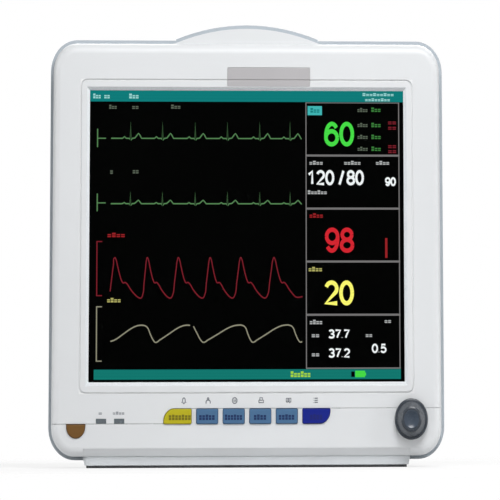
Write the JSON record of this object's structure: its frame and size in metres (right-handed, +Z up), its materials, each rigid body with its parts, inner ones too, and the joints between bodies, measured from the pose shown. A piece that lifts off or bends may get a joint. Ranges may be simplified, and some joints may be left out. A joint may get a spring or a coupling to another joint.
{
  "type": "patient monitor",
  "caption": "Bedside patient monitor: wide screen in a pale moulded case, row of coloured keys, press-and-turn knob, carry handle, side sockets and a battery behind a hinged door.",
  "frame": {"origin": "middle of the footprint, on the surface the rubber feet stand on", "axes": "+X to the viewer's right, +Y from the screen to the back, +Z up"},
  "size_m": [0.3078, 0.158, 0.2802],
  "materials": {
    "shell_white": "fine moulded texture",
    "badge_grey": "satin",
    "clear_window": "clear, anti-glare",
    "black_foam": "closed-cell foam",
    "steel": "zinc plated",
    "aluminium": "plain",
    "screen": "black with lit traces and numbers",
    "key_yellow": "satin",
    "key_blue": "satin",
    "key_navy": "satin",
    "key_brown": "satin",
    "circuit_board": "solder mask",
    "black_plastic": "moulded",
    "lamp_grey": "tinted lens",
    "knob_slate": "satin",
    "knob_cap": "satin",
    "alarm_lens": "frosted",
    "trim_grey": "satin",
    "housing_grey": "fine moulded texture",
    "base_grey": "powder coat",
    "rubber": "matt",
    "brass": "plain",
    "ribbon": "flexible",
    "panel_blue": "satin",
    "socket_green": "moulded",
    "socket_blue": "moulded",
    "battery_blue": "shrink sleeve"
  },
  "bodies": {
    "case": {"front_bezel": "shell_white", "chin_panel": "shell_white", "blank_badge": "badge_grey", "display_window": "clear_window", "window_gasket": "black_foam", "lcd_frame": "steel", "lcd_cell": "screen", "backlight_tray": "aluminium", "lcd_spacers": "aluminium", "key_board": "circuit_board", "key_switches": "black_plastic", "lamp_lenses": "lamp_grey", "encoder_body": "black_plastic", "encoder_nut": "steel", "alarm_lens": "alarm_lens", "alarm_board": "circuit_board", "trim_band": "trim_grey", "rear_housing": "housing_grey", "base_plate": "base_grey", "rubber_feet": "rubber", "base_screws": "steel", "case_screws": "steel", "chassis": "steel", "chassis_screws": "steel", "main_board": "circuit_board", "lead_board": "circuit_board", "power_board": "circuit_board", "board_standoffs": "brass", "board_screws": "steel", "display_ribbon": "ribbon", "key_ribbon": "ribbon", "cuff_pump": "aluminium", "cuff_valve": "black_plastic", "air_hose": "ribbon", "speaker": "black_plastic", "socket_panel": "panel_blue", "lead_socket": "socket_green", "sensor_socket": "socket_blue", "cuff_socket": "steel", "probe_jacks": "black_plastic", "door_pin": "steel", "battery_tray": "black_plastic", "battery_pack": "battery_blue", "mains_inlet": "black_plastic", "inlet_screws": "steel", "fuse_holders": "black_plastic", "earth_post": "brass", "lan_port": "steel"},
    "silence_key": {"silence_key": "key_yellow"},
    "lead_key": {"lead_key": "key_blue"},
    "freeze_key": {"freeze_key": "key_blue"},
    "print_key": {"print_key": "key_blue"},
    "cuff_key": {"cuff_key": "key_blue"},
    "menu_key": {"menu_key": "key_navy"},
    "power_key": {"power_key": "key_brown"},
    "encoder_push": {"encoder_plunger": "black_plastic"},
    "knob": {"control_knob": "knob_slate", "knob_cap": "knob_cap", "encoder_shaft": "steel"},
    "battery_door": {"battery_door": "housing_grey"}
  },
  "joints": [
    {"name": "silence_key_press", "type": "slide", "parent": "case", "child": "silence_key", "axis": [0, 1, 0], "range_m": [0, 0.0008], "stiffness_N_per_m": 1200},
    {"name": "lead_key_press", "type": "slide", "parent": "case", "child": "lead_key", "axis": [0, 1, 0], "range_m": [0, 0.0008], "stiffness_N_per_m": 1200},
    {"name": "freeze_key_press", "type": "slide", "parent": "case", "child": "freeze_key", "axis": [0, 1, 0], "range_m": [0, 0.0008], "stiffness_N_per_m": 1200},
    {"name": "print_key_press", "type": "slide", "parent": "case", "child": "print_key", "axis": [0, 1, 0], "range_m": [0, 0.0008], "stiffness_N_per_m": 1200},
    {"name": "cuff_key_press", "type": "slide", "parent": "case", "child": "cuff_key", "axis": [0, 1, 0], "range_m": [0, 0.0008], "stiffness_N_per_m": 1200},
    {"name": "menu_key_press", "type": "slide", "parent": "case", "child": "menu_key", "axis": [0, 1, 0], "range_m": [0, 0.0008], "stiffness_N_per_m": 1200},
    {"name": "power_key_press", "type": "slide", "parent": "case", "child": "power_key", "axis": [0, 1, 0], "range_m": [0, 0.0008], "stiffness_N_per_m": 1200},
    {"name": "knob_press", "type": "slide", "parent": "case", "child": "encoder_push", "axis": [0, 1, 0], "range_m": [0, 0.0006], "stiffness_N_per_m": 2000},
    {"name": "knob_turn", "type": "hinge", "parent": "encoder_push", "child": "knob", "pos_m": [0.1279, -0.063, 0.03], "axis": [0, 1, 0], "continuous": true},
    {"name": "battery_door_swing", "type": "hinge", "parent": "case", "child": "battery_door", "pos_m": [0.1435, 0.0386, 0.1165], "axis": [0, 0, 1], "range_deg": [0, 90]}
  ]
}
